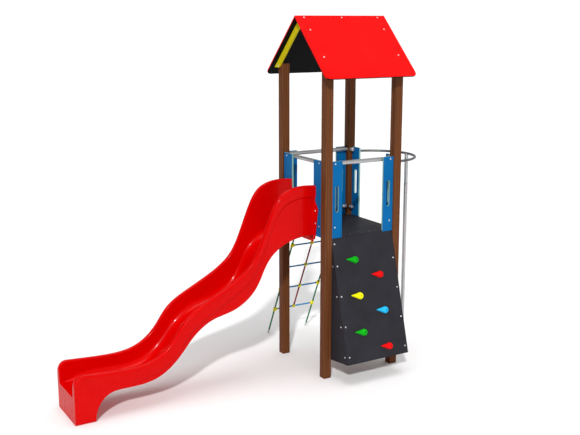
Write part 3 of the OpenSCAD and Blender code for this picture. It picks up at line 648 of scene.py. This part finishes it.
def make_slide():
    body = wrap_grid(slide_rings())
    close_end(body, SLIDE_BACK)
    close_end(body, SLIDE_BACK - SLIDE_L)
    ease_front(body)
    smooth(body, 38)
    modify(body, "WEIGHTED_NORMAL", keep_sharp=True, weight=50)
    finish_piece(body, "slide_trough", RED_SLIDE, "slide_chute")
    make_flange()


def make_flange():
    """The moulding's bolting flange, with an ear on each side, and the tongue that meets the deck."""
    thick = 0.014
    ear_y, ear_z, ear_r = 0.269, DECK_Z + 0.259, 0.045
    heel_z, heel_r = DECK_Z + 0.110, 0.027
    half = [(0.205, DECK_LOW - 0.040), (SLIDE_HALF - 0.028, DECK_LOW - 0.045)]
    half += arc(SLIDE_HALF - 0.022, DECK_LOW - 0.020, 0.022, -60, 0, 4)
    half += arc(SLIDE_HALF, heel_z, heel_r, -30, 15, 5)
    half += arc(ear_y, ear_z, ear_r, -25, 55, 9)
    half += [(SLIDE_HALF - 0.003, ear_z + 0.082), (SLIDE_HALF - 0.012, ear_z + 0.105),
             (0.224, ear_z + 0.100)]
    parts = []
    for side in (1, -1):
        deselect()
        bpy.ops.mesh.primitive_circle_add(vertices=len(half), radius=1, fill_type="NGON")
        ear = bpy.context.object
        for v, (y, z) in zip(ear.data.vertices, half):
            v.co = (SLIDE_BACK - 0.001, CENTRE.y + side * y, z)
        edit(ear, "FACE")
        bpy.ops.mesh.select_all(action="SELECT")
        bpy.ops.mesh.extrude_region_move(TRANSFORM_OT_translate={"value": (-thick + 0.001, 0, 0)})
        bpy.ops.mesh.select_all(action="SELECT")
        bpy.ops.mesh.normals_make_consistent(inside=False)
        bpy.ops.object.mode_set(mode="OBJECT")
        parts.append(ear)
    for x0, x1, half_y, z0, z1 in ((-thick, -0.001, 0.23, DECK_LOW - 0.065, DECK_LOW + 0.008),
                                   (-0.002, PANEL_OUT - PANEL_IN, 0.206, DECK_LOW, DECK_LOW + BED_T)):
        deselect()
        middle = (SLIDE_BACK + (x0 + x1) / 2, CENTRE.y, (z0 + z1) / 2)
        bpy.ops.mesh.primitive_cube_add(size=1, location=middle, scale=(x1 - x0, 2 * half_y, z1 - z0))
        parts.append(settle(bpy.context.object))
    flange = join(parts, "slide_flange")
    modify(flange, "BEVEL", width=0.003, segments=3, limit_method="ANGLE", angle_limit=math.radians(40))
    smooth(flange, 40)
    finish_piece(flange, "slide_flange", RED_SLIDE, None)


make_slide()


# ---------- bolts and screws ----------

HEAD_D = 0.018
HEAD_H = 0.005
FIT = 0.0002
LUG_Z = DECK_Z + 0.097
RAIL_Z = PANEL_TOP - 0.026
PANEL_T = PANEL_OUT - PANEL_IN
RAIL_AT = PANEL_IN - RAIL_D / 2 - FIT
BOLT_IN = {"slide": 0.060, "wall": 0.040, "net": 0.040, "pole": 0.040}


def cut(obj, cutter):
    """Takes the cutter away from the piece."""
    modify(obj, "BOOLEAN", object=cutter, operation="DIFFERENCE", solver="EXACT")
    remove(cutter)


def button_head(head_d, head_h, shank_d, reach, drive=0.0022):
    """A domed bolt at the origin, head towards +Z, with a hexagon socket and its shank below."""
    head = cylinder(head_d, head_h, (0, 0, head_h / 2))
    pick(head, lambda a, b: a.z > head_h - 1e-5 and b.z > head_h - 1e-5, "EDGE")
    bpy.ops.mesh.bevel(offset=head_h * 0.8, offset_pct=0, segments=5, profile=0.5, affect="EDGES")
    bpy.ops.object.mode_set(mode="OBJECT")
    cut(head, cylinder(2 * drive, head_h, (0, 0, head_h), 6))
    smooth(head, 35)
    return join([head, at_height(rod(reach, shank_d, 20, 0.0005), -reach)], "bolt")


def at_height(obj, z):
    obj.location.z = z
    return settle(obj)


def side_place(side, out, across, z, tilt=math.pi / 2):
    """Place on one side of the tower: out from the centre line, across it, and up."""
    turn = SIDE_TURN[side]
    x, y = math.cos(turn) * out - math.sin(turn) * across, math.sin(turn) * out + math.cos(turn) * across
    return turned(CENTRE.x + x, CENTRE.y + y, z, turn, tilt)


def wall_face_y(z):
    """The climbing wall's front face at a height."""
    return CENTRE.y + math.tan(WALL_LEAN) * (z - DECK_LOW) - (PANEL_OUT - 0.005)


def on_wall(x, z):
    """Place on the climbing wall's face, with +Z out of it and +Y up it."""
    lean = Matrix.Rotation(math.pi / 2 - WALL_LEAN, 4, "X")
    return Matrix.Translation((CENTRE.x + x, wall_face_y(z), z)) @ lean


RIDGE_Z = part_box("roof_sheet_wall")[1].z
SLOPE = math.radians(45)
HEAD_GAP = 0.0001
RIDGE_BOLT_DOWN = 0.020
HIGH_BOLT_DOWN = 0.141
LOW_BOLT_IN = 0.0715


def on_roof(side, x, down):
    """Place on a roof slope: down from the ridge and level out, with +Z out of the roof."""
    face = 1 if side == "net" else -1
    spot = (CENTRE.x + x, CENTRE.y + face * down, RIDGE_Z - down + HEAD_GAP)
    return Matrix.Translation(spot) @ Matrix.Rotation(-face * SLOPE, 4, "X")


def make_bolts():
    panel_places = [side_place(side, PANEL_OUT, s * (INNER - BOLT_IN[side]), z)
                    for side in SIDE_TURN for s in (-1, 1) for z in (LUG_Z, RAIL_Z)]
    bolt = button_head(HEAD_D, HEAD_H, 0.008, PANEL_T + 0.012)
    finish_piece(stamp(bolt, panel_places, "panel_bolts"), "panel_bolt_heads", ZINC,
                 "panel_bolts")
    slide_places = [turned(SLIDE_BACK - 0.014, CENTRE.y + y, DECK_Z + z, 0, -math.pi / 2)
                    for y in (-0.277, 0.277) for z in (0.122, 0.254)]
    finish_piece(stamp(bolt, slide_places, "slide_bolts"), "slide_bolt_heads", ZINC,
                 "slide_bolts")
    wall_x = INNER - 0.030
    cheek_x = INNER - FIT
    heights = (0.312, 0.615, 0.917, 1.220)
    places = [on_wall(s * wall_x, z) for s in (-1, 1) for z in heights]
    places.append(on_wall(-wall_x, DECK_LOW - 0.060))
    cheek_in = 0.038 / math.cos(WALL_LEAN)
    places += [turned(CENTRE.x + s * cheek_x, wall_face_y(z) + cheek_in, z - 0.007, 0, s * math.pi / 2)
               for s in (-1, 1) for z in heights]
    finish_piece(stamp(bolt, places, "wall_bolts"), "wall_bolt_heads", ZINC, "wall_bolts")
    remove(bolt)
    roof_x = OUTER + 2 * FIT - 0.0179
    bolt = button_head(HEAD_D, HEAD_H, 0.008, 0.022)
    places = [on_roof(side, x, RIDGE_BOLT_DOWN) for side in ("wall", "net") for x in (-roof_x, 0, roof_x)]
    places += [on_roof(side, x, down) for side in ("wall", "net") for x in (-roof_x, roof_x)
               for down in (HIGH_BOLT_DOWN, OUTER - LOW_BOLT_IN)]
    finish_piece(stamp(bolt, places, "roof_bolts"), "roof_bolt_heads", ZINC, "roof_bolts")
    remove(bolt)


def make_carried_over():
    """Small hidden steel parts stay as the CAD nodes they are, with their own finish."""
    for name in ("deck_screws", "rail_studs", "rail_plugs", "coach_screws"):
        NODES[name].data.materials.clear()
        NODES[name].data.materials.append(ZINC)


make_bolts()
make_carried_over()


# ---------- rails, lugs, bow and pole ----------

def make_rails():
    for side in ("slide", "wall", "net"):
        rail = tube(2 * (INNER - FIT), RAIL_D)
        place = side_place(side, RAIL_AT, -(INNER - FIT), RAIL_Z, 0) @ Matrix.Rotation(-math.pi / 2, 4, "X")
        rail.matrix_world = place
        finish_piece(rail, "handrail_tube_" + side, GALVANISED, "handrail_" + side)


def cast_lug(length):
    """A round cast stub along +Z with a rounded nose and a small raised disc on its nose."""
    lug = rod(length + 0.006, RAIL_D, 40, 0.007)
    cap = cylinder(0.017, 0.003, (0, 0, length + 0.0055), 24)
    modify(cap, "BEVEL", width=0.001, segments=2, limit_method="ANGLE", angle_limit=math.radians(50))
    smooth(cap, 40)
    return join([lug, cap], "cast_lug")


def make_lugs():
    parts = []
    for side in SIDE_TURN:
        lug = cast_lug(BOLT_IN[side] + 0.008)
        heights = (LUG_Z, RAIL_Z) if side == "pole" else (LUG_Z,)
        places = [side_place(side, RAIL_AT, s * (INNER - FIT), z, 0)
                  @ Matrix.Rotation(s * math.pi / 2, 4, "X") for s in (-1, 1) for z in heights]
        parts.append(stamp(lug, places, "lugs_" + side))
        remove(lug)
    finish_piece(join(parts, "cast_lugs"), "cast_lugs", CAST, "rail_lugs")


BOW_Z = PANEL_TOP - 0.063
BOW_R = 0.430
BOW_D = 0.027
BOW_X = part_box("bow_rail")[1].x - CENTRE.x - BOW_R - BOW_D / 2
PLATE_T = 0.004
PLATE_AT = OUTER + PLATE_T / 2
POLE_X = BOW_X + BOW_R
POLE_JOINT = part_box("pole_upper")[0].z - 0.003
SPIGOT_L = 0.120


def make_bow():
    deselect()
    bpy.ops.mesh.primitive_circle_add(vertices=32, radius=BOW_D / 2, location=(0, -BOW_R, 0),
                                      rotation=(0, math.pi / 2, 0))
    bow = settle(bpy.context.object)
    straight = BOW_X - PLATE_AT
    edit(bow)
    bpy.ops.mesh.select_all(action="SELECT")
    bpy.ops.mesh.extrude_region_move(TRANSFORM_OT_translate={"value": (straight, 0, 0)})
    bpy.ops.mesh.spin(steps=96, angle=-math.pi, center=(straight, 0, 0), axis=(0, 0, 1))
    bpy.ops.mesh.extrude_region_move(TRANSFORM_OT_translate={"value": (-straight, 0, 0)})
    bpy.ops.mesh.select_all(action="SELECT")
    bpy.ops.mesh.remove_doubles(threshold=1e-5)
    bpy.ops.object.mode_set(mode="OBJECT")
    for y in (-BOW_R, BOW_R):
        pick(bow, lambda a, b, y=y: abs(a.x) < 1e-5 and abs(b.x) < 1e-5 and abs(a.y - y) < BOW_D
             and abs(b.y - y) < BOW_D, "EDGE")
        bpy.ops.mesh.edge_face_add()
        bpy.ops.object.mode_set(mode="OBJECT")
    weld(bow)
    bow.location = (CENTRE.x + PLATE_AT, CENTRE.y, BOW_Z)
    settle(bow)
    smooth(bow, 40)
    plates = []
    for y in (-BOW_R, BOW_R):
        deselect()
        bpy.ops.mesh.primitive_cube_add(size=1, location=(CENTRE.x + PLATE_AT, CENTRE.y + y, BOW_Z),
                                        scale=(PLATE_T, 0.044, 0.090))
        plate = settle(bpy.context.object)
        pick(plate, lambda a, b: abs(a.x - b.x) > 0.003, "EDGE")
        bpy.ops.mesh.bevel(offset=0.008, segments=5, affect="EDGES")
        bpy.ops.object.mode_set(mode="OBJECT")
        modify(plate, "BEVEL", width=0.0005, segments=2, limit_method="ANGLE", angle_limit=math.radians(40))
        smooth(plate, 35)
        plates.append(plate)
    finish_piece(join([bow] + plates, "bow"), "bow_rail_and_plates", DULL_STEEL, "bow_rail")


def make_pole():
    lengths = (("pole_lower", 0.0, POLE_JOINT), ("pole_upper", POLE_JOINT + 0.003, BOW_Z + 0.004))
    for name, low, high in lengths:
        part = tube(high - low, RAIL_D, rim=0.001)
        part.location = (CENTRE.x + POLE_X, CENTRE.y, low)
        settle(part)
        if name == "pole_lower":
            spigot = tube(SPIGOT_L, RAIL_D - 2 * STEEL_WALL)
            spigot.location = (CENTRE.x + POLE_X, CENTRE.y, POLE_JOINT - SPIGOT_L / 2)
            settle(spigot)
            part = join([part, spigot], name)
        finish_piece(part, name + "_tube", GALVANISED, name)


make_rails()
make_lugs()
make_bow()
make_pole()


# ---------- climbing holds ----------

# Each hold's bolt: across the wall, and its height
HOLD_PLACES = {"hold_green_high": (-0.131, 1.258), "hold_red_high": (0.155, 1.073),
               "hold_yellow": (-0.130, 0.895), "hold_blue": (0.157, 0.710),
               "hold_green_low": (-0.142, 0.530), "hold_red_low": (0.152, 0.343)}
HOLD_R = 0.037
HOLD_T = 0.040
HOLD_TAIL = 0.067
HOLD_SINK = 0.014


def hold_outline(a):
    """Teardrop outline: a round bulb whose far side draws out into a tail that tips up."""
    s = max(0.0, -math.cos(a))
    return (HOLD_R * math.cos(a) - HOLD_TAIL * s ** 2.1,
            HOLD_R * math.sin(a) * (1 - 0.5 * s ** 1.5) + 0.017 * s ** 2)


def make_hold_master():
    columns, rings = 72, 20
    deselect()
    bpy.ops.mesh.primitive_grid_add(x_subdivisions=columns, y_subdivisions=rings, size=1)
    hold = bpy.context.object
    for v in hold.data.vertices:
        a = 2 * math.pi * round((v.co.x + 0.5) * columns) / columns
        rise = round((v.co.y + 0.5) * rings) / rings * math.pi / 2
        x, y = hold_outline(a)
        v.co = (x * math.cos(rise), y * math.cos(rise), FIT + (HOLD_T - FIT) * math.sin(rise) ** 0.9)
    weld(hold, 2e-5)
    pick(hold, lambda a, b: a.z < FIT + 1e-5 and b.z < FIT + 1e-5, "EDGE")
    bpy.ops.mesh.edge_face_add()
    bpy.ops.mesh.select_all(action="SELECT")
    bpy.ops.mesh.normals_make_consistent(inside=False)
    bpy.ops.object.mode_set(mode="OBJECT")
    # The bolt's bore, and the wider sink for its head
    for diameter, low in ((0.0102, -0.010), (0.021, HOLD_SINK)):
        cut(hold, cylinder(diameter, 0.080, (0, 0, low + 0.040)))
    smooth(hold, 40)
    return hold


def make_holds():
    master = make_hold_master()
    for name, (x, z) in HOLD_PLACES.items():
        colour = name.split("_")[1]
        hold = stamp(master, [on_wall(x, z)], name)
        finish_piece(hold, name + "_grip", HOLDS[colour], name)
    remove(master)
    bolt = button_head(0.020, 0.008, 0.010, HOLD_SINK + 0.034, 0.005)
    nut = at_height(rod(0.003, 0.024, 24, 0.0008), -HOLD_SINK - 0.0232)
    bolt = join([bolt, nut], "hold_bolt")
    places = [on_wall(x, z) @ Matrix.Translation((0, 0, HOLD_SINK)) for x, z in HOLD_PLACES.values()]
    finish_piece(stamp(bolt, places, "hold_bolts"), "hold_bolt_set", ZINC, "hold_bolts")
    remove(bolt)


make_holds()


# ---------- climbing net ----------

NET_HALF = 0.262
ROPE_X = (-NET_HALF, 0, NET_HALF)
BEARER_T = 0.046
RING_R = 0.012
RING_WIRE = 0.004
NET_Y = INNER + BEARER_T + RING_R + RING_WIRE + FIT
NET_Z = DECK_LOW - 0.120 + 0.018
NET_OUT = 1.101
NET_LEAN = math.atan((NET_OUT - NET_Y) / NET_Z)
NET_L = NET_Z / math.cos(NET_LEAN)
RUNG_Z = [0.337 + 0.288 * i for i in range(4)]
FERRULE_L = 0.045
FERRULE_S = 2 * RING_R + 0.002
ROPE_S = FERRULE_S + 0.014


def at_net(x, s=0.0):
    """Place on the net: across it, and s down its slope from the anchor line, with -Z down the slope."""
    return (Matrix.Translation((CENTRE.x + x, CENTRE.y + NET_Y, NET_Z)) @ Matrix.Rotation(NET_LEAN, 4, "X")
            @ Matrix.Translation((0, 0, -s)))


def laid_rope(length, diameter=ROPE_D, strands=6, lay=0.115):
    """A six-strand laid rope along +Z from the origin, closed at both ends."""
    columns, step = 36, 0.0055
    rings = max(8, round(length / step))
    deselect()
    bpy.ops.mesh.primitive_grid_add(x_subdivisions=columns, y_subdivisions=rings, size=1)
    rope = bpy.context.object
    for v in rope.data.vertices:
        a = 2 * math.pi * round((v.co.x + 0.5) * columns) / columns
        z = length * round((v.co.y + 0.5) * rings) / rings
        r = diameter / 2 * (1 - 0.14 * (0.5 - 0.5 * math.cos(strands * (a - 2 * math.pi * z / lay))) ** 2)
        v.co = (r * math.cos(a), r * math.sin(a), z)
    weld(rope, 1e-5)
    for end in (0, length):
        pick(rope, lambda a, b, z=end: abs(a.z - z) < 1e-5 and abs(b.z - z) < 1e-5, "EDGE")
        bpy.ops.mesh.edge_face_add()
        bpy.ops.object.mode_set(mode="OBJECT")
    weld(rope)
    smooth(rope, 50)
    return rope


def rung_s(i):
    return (NET_Z - RUNG_Z[i]) / math.cos(NET_LEAN)


def make_ropes():
    side_l = NET_L - ROPE_S - 0.0004
    ropes = laid_rope(side_l)
    places = [at_net(s * NET_HALF, NET_L - 0.0040) for s in (-1, 1)]
    finish_piece(stamp(ropes, places, "side_ropes"), "net_side_rope_pair", GREEN_ROPE,
                 "net_side_ropes")
    remove(ropes)
    low = rung_s(0) + 0.012
    middle = laid_rope(low - ROPE_S)
    finish_piece(stamp(middle, [at_net(0, low)], "middle"), "net_middle_rope_run", RED_ROPE,
                 "net_middle_rope")
    remove(middle)
    length = NET_HALF - ROPE_D - 0.002
    rung = laid_rope(length)
    places = [at_net(s * NET_HALF / 2 - length / 2, rung_s(i)) @ around("Y")
              for i in range(4) for s in (-1, 1)]
    finish_piece(stamp(rung, places, "rungs"), "net_rung_ropes", BLUE_ROPE, "net_rungs")
    remove(rung)


def moulded_barrel(length, diameter):
    """A clamp sleeve centred on the origin along Z, with rounded ends and a moulded belt."""
    barrel = at_height(rod(length, diameter, 32, diameter * 0.16), -length / 2)
    ring = at_height(rod(length * 0.16, diameter, 32, 0.0008), -length * 0.08)
    return join([barrel, ring], "barrel")


def front_screw(x, z, out):
    """Place of a clamp's screw: at x and z, on the side that faces out along -Y."""
    return Matrix.Translation((x, 0, z)) @ around("X") @ Matrix.Translation((0, 0, out))


def make_clamps():
    deselect()
    bpy.ops.mesh.primitive_uv_sphere_add(segments=32, ring_count=16, radius=0.021)
    ball = bpy.context.object
    pick(ball, lambda a, b: abs(a.z) < 1e-5 and abs(b.z) < 1e-5, "EDGE")
    bpy.ops.mesh.bevel(offset=0.0012, segments=2, affect="EDGES")
    bpy.ops.object.mode_set(mode="OBJECT")
    smooth(ball, 60)
    screw = button_head(0.0065, 0.0018, 0.003, 0.004, 0.0012)
    heads = stamp(screw, [front_screw(0.0075 * s, 0, 0.0185) for s in (-1, 1)], "ball_screws")
    middle = join([ball, heads], "ball_clamp")
    parts = [stamp(middle, [at_net(0, rung_s(i)) for i in range(4)], "ball_clamps")]
    remove(middle)
    body = moulded_barrel(0.050, 0.034)
    arm = rod(0.034, 0.032, 32, 0.004)
    arm.matrix_world = around("Y")
    settle(arm)
    heads = stamp(screw, [front_screw(0.008, z, 0.0142) for z in (-0.017, 0.017)], "tee_screws")
    remove(screw)
    tee = join([body, arm, heads], "tee_clamp")
    for s, turn in ((-1, 0), (1, math.pi)):
        places = [at_net(s * NET_HALF, rung_s(i)) @ Matrix.Rotation(turn, 4, "Z") for i in range(4)]
        parts.append(stamp(tee, places, "tee_clamps"))
    remove(tee)
    finish_piece(join(parts, "clamps"), "net_clamp_mouldings", CLAMP_YELLOW, "net_clamps")


def make_ferrules():
    ferrule = rod(FERRULE_L, 0.025, 32, 0.002)
    deselect()
    bpy.ops.mesh.primitive_torus_add(major_radius=RING_R, minor_radius=RING_WIRE,
                                     major_segments=40, minor_segments=16)
    eye = bpy.context.object
    smooth(eye, 60)
    link_s = 2 * RING_R - 2 * RING_WIRE - FIT
    parts = [stamp(ferrule, [at_net(x, FERRULE_S + FERRULE_L) for x in ROPE_X], "upper"),
             stamp(ferrule, [at_net(x, NET_L - 0.0050) for x in (-NET_HALF, NET_HALF)], "lower"),
             stamp(eye, [at_net(x, link_s) @ around("X") for x in ROPE_X], "eyes")]
    finish_piece(join(parts, "ferrules"), "net_ferrule_sleeves", ZINC, "net_ferrules")
    remove(ferrule)
    shank = rod(BEARER_T + 0.018, 0.010, 24, 0.0006)
    shank.matrix_world = Matrix.Translation((0, -RING_R + 0.001, 0)) @ around("X")
    settle(shank)
    nut = cylinder(0.018, 0.008, (0, INNER - NET_Y - 0.004, 0), 6, (math.pi / 2, 0, 0))
    modify(nut, "BEVEL", width=0.0008, segments=2, limit_method="ANGLE", angle_limit=math.radians(30))
    hoop = stamp(eye, [around("Y")], "hoop")
    remove(eye)
    bolt = join([hoop, shank, nut], "eye_bolt")
    places = [Matrix.Translation((CENTRE.x + x, CENTRE.y + NET_Y, NET_Z)) for x in ROPE_X]
    finish_piece(stamp(bolt, places, "eye_bolts"), "net_eye_bolt_set", ZINC,
                 "net_eye_bolts")
    remove(bolt)


make_ropes()
make_clamps()
make_ferrules()

# ---------- camera, floor and light ----------

def make_world():
    """Soft light all round, weaker from the slide's side, behind a plain white backdrop."""
    world = bpy.data.worlds.new("studio")
    bpy.context.scene.world = world
    world.use_nodes = True
    tree = world.node_tree
    soft = tree.nodes["Background"]
    where = tree.nodes.new("ShaderNodeSeparateXYZ")
    tree.links.new(tree.nodes.new("ShaderNodeTexCoord").outputs["Generated"], where.inputs[0])
    share = tree.nodes.new("ShaderNodeMapRange")
    tree.links.new(where.outputs["X"], share.inputs["Value"])
    for key, value in (("From Min", -1), ("From Max", 1), ("To Min", 0.02), ("To Max", 0.80)):
        share.inputs[key].default_value = value
    tree.links.new(share.outputs["Result"], soft.inputs["Strength"])
    backdrop = tree.nodes.new("ShaderNodeBackground")
    backdrop.inputs["Strength"].default_value = 1.05
    seen = tree.nodes.new("ShaderNodeLightPath")
    mix = tree.nodes.new("ShaderNodeMixShader")
    tree.links.new(seen.outputs["Is Camera Ray"], mix.inputs[0])
    tree.links.new(soft.outputs[0], mix.inputs[1])
    tree.links.new(backdrop.outputs[0], mix.inputs[2])
    tree.links.new(mix.outputs[0], tree.nodes["World Output"].inputs["Surface"])
    for background in (soft, backdrop):
        background.inputs["Color"].default_value = (1, 1, 1, 1)


def make_sun(name, direction, strength, softness):
    sun = bpy.data.lights.new(name, "SUN")
    sun.energy = strength
    sun.angle = math.radians(softness)
    lamp = bpy.data.objects.new(name, sun)
    lamp.rotation_euler = Vector(direction).to_track_quat("-Z", "Y").to_euler()
    bpy.context.scene.collection.objects.link(lamp)


def make_stage():
    deselect()
    bpy.ops.mesh.primitive_plane_add(size=120, location=(0, 0, 0))
    floor = bpy.context.object
    floor.name = "floor"
    f = Finish("pale_floor", Roughness=0.95, Specular_IOR_Level=0.0)
    shade = f.ramp(f.noise(0.6), (0.3, (0.86, 0.86, 0.86)), (0.7, (0.88, 0.88, 0.88)))
    floor.data.materials.append(f.set(Base_Color=shade))
    make_world()
    make_sun("key_light", (0.48, 0.67, -0.565), 2.45, 3)
    make_sun("top_light", (0.05, 0.05, -1), 1.3, 40)
    lens = bpy.data.cameras.new("camera")
    lens.lens = 56.31
    lens.shift_x = -0.0012
    lens.shift_y = -0.0047
    lens.clip_end = 300
    camera = bpy.data.objects.new("camera", lens)
    camera.location = CENTRE + Vector((-5.3276, -7.9969, 3.6821))
    camera.rotation_euler = (math.radians(90 - 12.1), 0, math.radians(-30.6))
    bpy.context.scene.collection.objects.link(camera)
    bpy.context.scene.camera = camera
    bpy.context.scene.view_settings.view_transform = "Standard"


make_stage()
